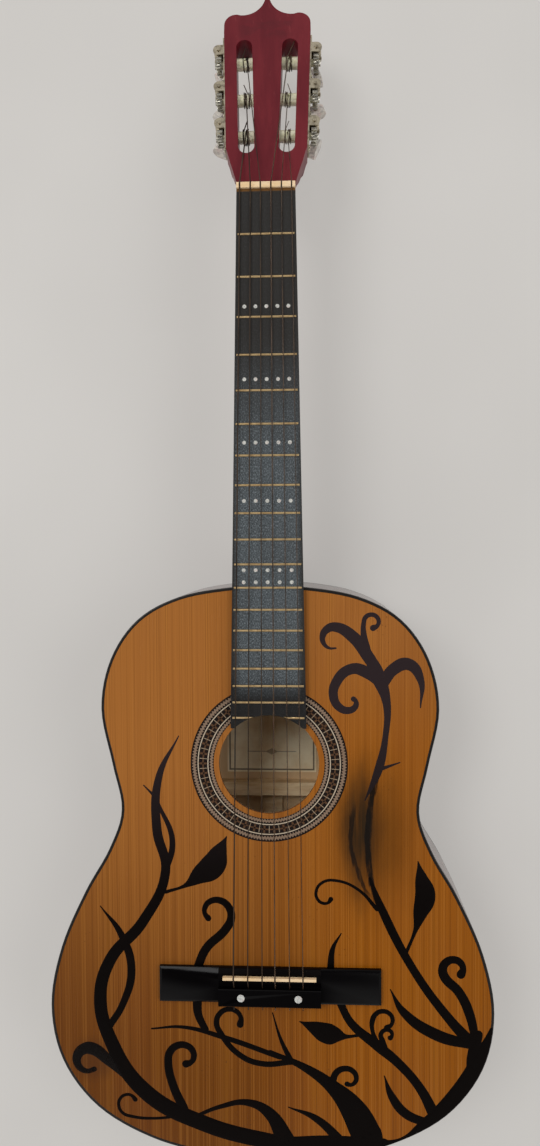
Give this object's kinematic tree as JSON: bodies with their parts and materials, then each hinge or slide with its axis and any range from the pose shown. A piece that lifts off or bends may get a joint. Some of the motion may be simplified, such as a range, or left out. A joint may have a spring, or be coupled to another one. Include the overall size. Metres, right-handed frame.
{
  "type": "broken acoustic guitar",
  "caption": "Worn slot-head classical guitar lying on its back, with a hollow braced body, tied bridge, fretted neck and geared tuners.",
  "frame": {"origin": "under the middle of the guitar's length and width, on the plane that its back rests on", "axes": "+Z the way the soundboard faces, +Y from the tail to the head, +X to the treble side"},
  "size_m": [0.375, 0.9945, 0.1081],
  "materials": {
    "spruce_top": "aged amber gloss lacquer, rubbed in places",
    "body_wood": "dark red-brown gloss lacquer",
    "neck_wood": "dark cherry semi-gloss lacquer",
    "inner_wood": "bare wood",
    "fingerboard_wood": "near-black, greyed by wear",
    "bridge_wood": "black lacquer",
    "binding": "black, gloss",
    "inlay": "pale pearl",
    "rosette": "inlaid tiles and lines under lacquer",
    "label": "plain aged paper, bare of print",
    "bone": "cream",
    "fret_metal": "dull, worn",
    "nickel": "worn nickel plating",
    "gear_brass": "dull",
    "pearloid": "marbled cream",
    "nylon": "clear, yellowed",
    "wound": "tarnished winding",
    "steel": "plain"
  },
  "bodies": {
    "root": {"soundboard": "spruce_top", "back": "body_wood", "rib_bass": "body_wood", "rib_treble": "body_wood", "neck_block": "inner_wood", "tail_block": "inner_wood", "top_linings": "inner_wood", "back_linings": "inner_wood", "top_binding": "binding", "back_binding": "binding", "top_braces": "inner_wood", "back_braces": "inner_wood", "rosette": "rosette", "label": "label", "bridge": "bridge_wood", "saddle": "bone", "bridge_bolts": "steel", "bridge_dots": "inlay", "bridge_patch": "inner_wood", "neck": "neck_wood", "headstock": "neck_wood", "heel_cap": "binding", "fingerboard": "fingerboard_wood", "nut": "bone", "position_dots": "inlay", "frets": "fret_metal", "bass_tuner_plate": "nickel", "treble_tuner_plate": "nickel", "plate_screws": "steel", "string_1": "nylon", "string_2": "nylon", "string_3": "nylon", "string_4": "wound", "string_5": "wound", "string_6": "wound"},
    "key_1": {"worm_1": "nickel", "button_1": "pearloid"},
    "barrel_1": {"roller_1": "pearloid", "gear_1": "gear_brass"},
    "key_2": {"worm_2": "nickel", "button_2": "pearloid"},
    "barrel_2": {"roller_2": "pearloid", "gear_2": "gear_brass"},
    "key_3": {"worm_3": "nickel", "button_3": "pearloid"},
    "barrel_3": {"roller_3": "pearloid", "gear_3": "gear_brass"},
    "key_4": {"worm_4": "nickel", "button_4": "pearloid"},
    "barrel_4": {"roller_4": "pearloid", "gear_4": "gear_brass"},
    "key_5": {"worm_5": "nickel", "button_5": "pearloid"},
    "barrel_5": {"roller_5": "pearloid", "gear_5": "gear_brass"},
    "key_6": {"worm_6": "nickel", "button_6": "pearloid"},
    "barrel_6": {"roller_6": "pearloid", "gear_6": "gear_brass"}
  },
  "joints": [
    {"name": "key_turn_1", "type": "hinge", "parent": "root", "child": "key_1", "pos_m": [0.03967, 0.37742, 0.07357], "axis": [0, 0.2079, 0.9781], "continuous": true},
    {"name": "barrel_turn_1", "type": "hinge", "parent": "root", "child": "barrel_1", "pos_m": [0.03419, 0.36779, 0.07562], "axis": [0.9996, -0.0282, 0.006], "continuous": true},
    {"name": "key_turn_2", "type": "hinge", "parent": "root", "child": "key_2", "pos_m": [0.04068, 0.41164, 0.0663], "axis": [0, 0.2079, 0.9781], "continuous": true},
    {"name": "barrel_turn_2", "type": "hinge", "parent": "root", "child": "barrel_2", "pos_m": [0.0352, 0.40201, 0.06834], "axis": [0.9996, -0.0282, 0.006], "continuous": true},
    {"name": "key_turn_3", "type": "hinge", "parent": "root", "child": "key_3", "pos_m": [0.04169, 0.44586, 0.05902], "axis": [0, 0.2079, 0.9781], "continuous": true},
    {"name": "barrel_turn_3", "type": "hinge", "parent": "root", "child": "barrel_3", "pos_m": [0.0362, 0.43623, 0.06107], "axis": [0.9996, -0.0282, 0.006], "continuous": true},
    {"name": "key_turn_4", "type": "hinge", "parent": "root", "child": "key_4", "pos_m": [-0.04169, 0.44586, 0.05902], "axis": [0, 0.2079, 0.9781], "continuous": true},
    {"name": "barrel_turn_4", "type": "hinge", "parent": "root", "child": "barrel_4", "pos_m": [-0.0362, 0.43623, 0.06107], "axis": [-0.9996, -0.0282, 0.006], "continuous": true},
    {"name": "key_turn_5", "type": "hinge", "parent": "root", "child": "key_5", "pos_m": [-0.04068, 0.41164, 0.0663], "axis": [0, 0.2079, 0.9781], "continuous": true},
    {"name": "barrel_turn_5", "type": "hinge", "parent": "root", "child": "barrel_5", "pos_m": [-0.0352, 0.40201, 0.06834], "axis": [-0.9996, -0.0282, 0.006], "continuous": true},
    {"name": "key_turn_6", "type": "hinge", "parent": "root", "child": "key_6", "pos_m": [-0.03967, 0.37742, 0.07357], "axis": [0, 0.2079, 0.9781], "continuous": true},
    {"name": "barrel_turn_6", "type": "hinge", "parent": "root", "child": "barrel_6", "pos_m": [-0.03419, 0.36779, 0.07562], "axis": [-0.9996, -0.0282, 0.006], "continuous": true}
  ],
  "couplings": [
    {"joint": "barrel_turn_1", "follows": "key_turn_1", "ratio": -0.071429},
    {"joint": "barrel_turn_2", "follows": "key_turn_2", "ratio": -0.071429},
    {"joint": "barrel_turn_3", "follows": "key_turn_3", "ratio": -0.071429},
    {"joint": "barrel_turn_4", "follows": "key_turn_4", "ratio": 0.071429},
    {"joint": "barrel_turn_5", "follows": "key_turn_5", "ratio": 0.071429},
    {"joint": "barrel_turn_6", "follows": "key_turn_6", "ratio": 0.071429}
  ]
}
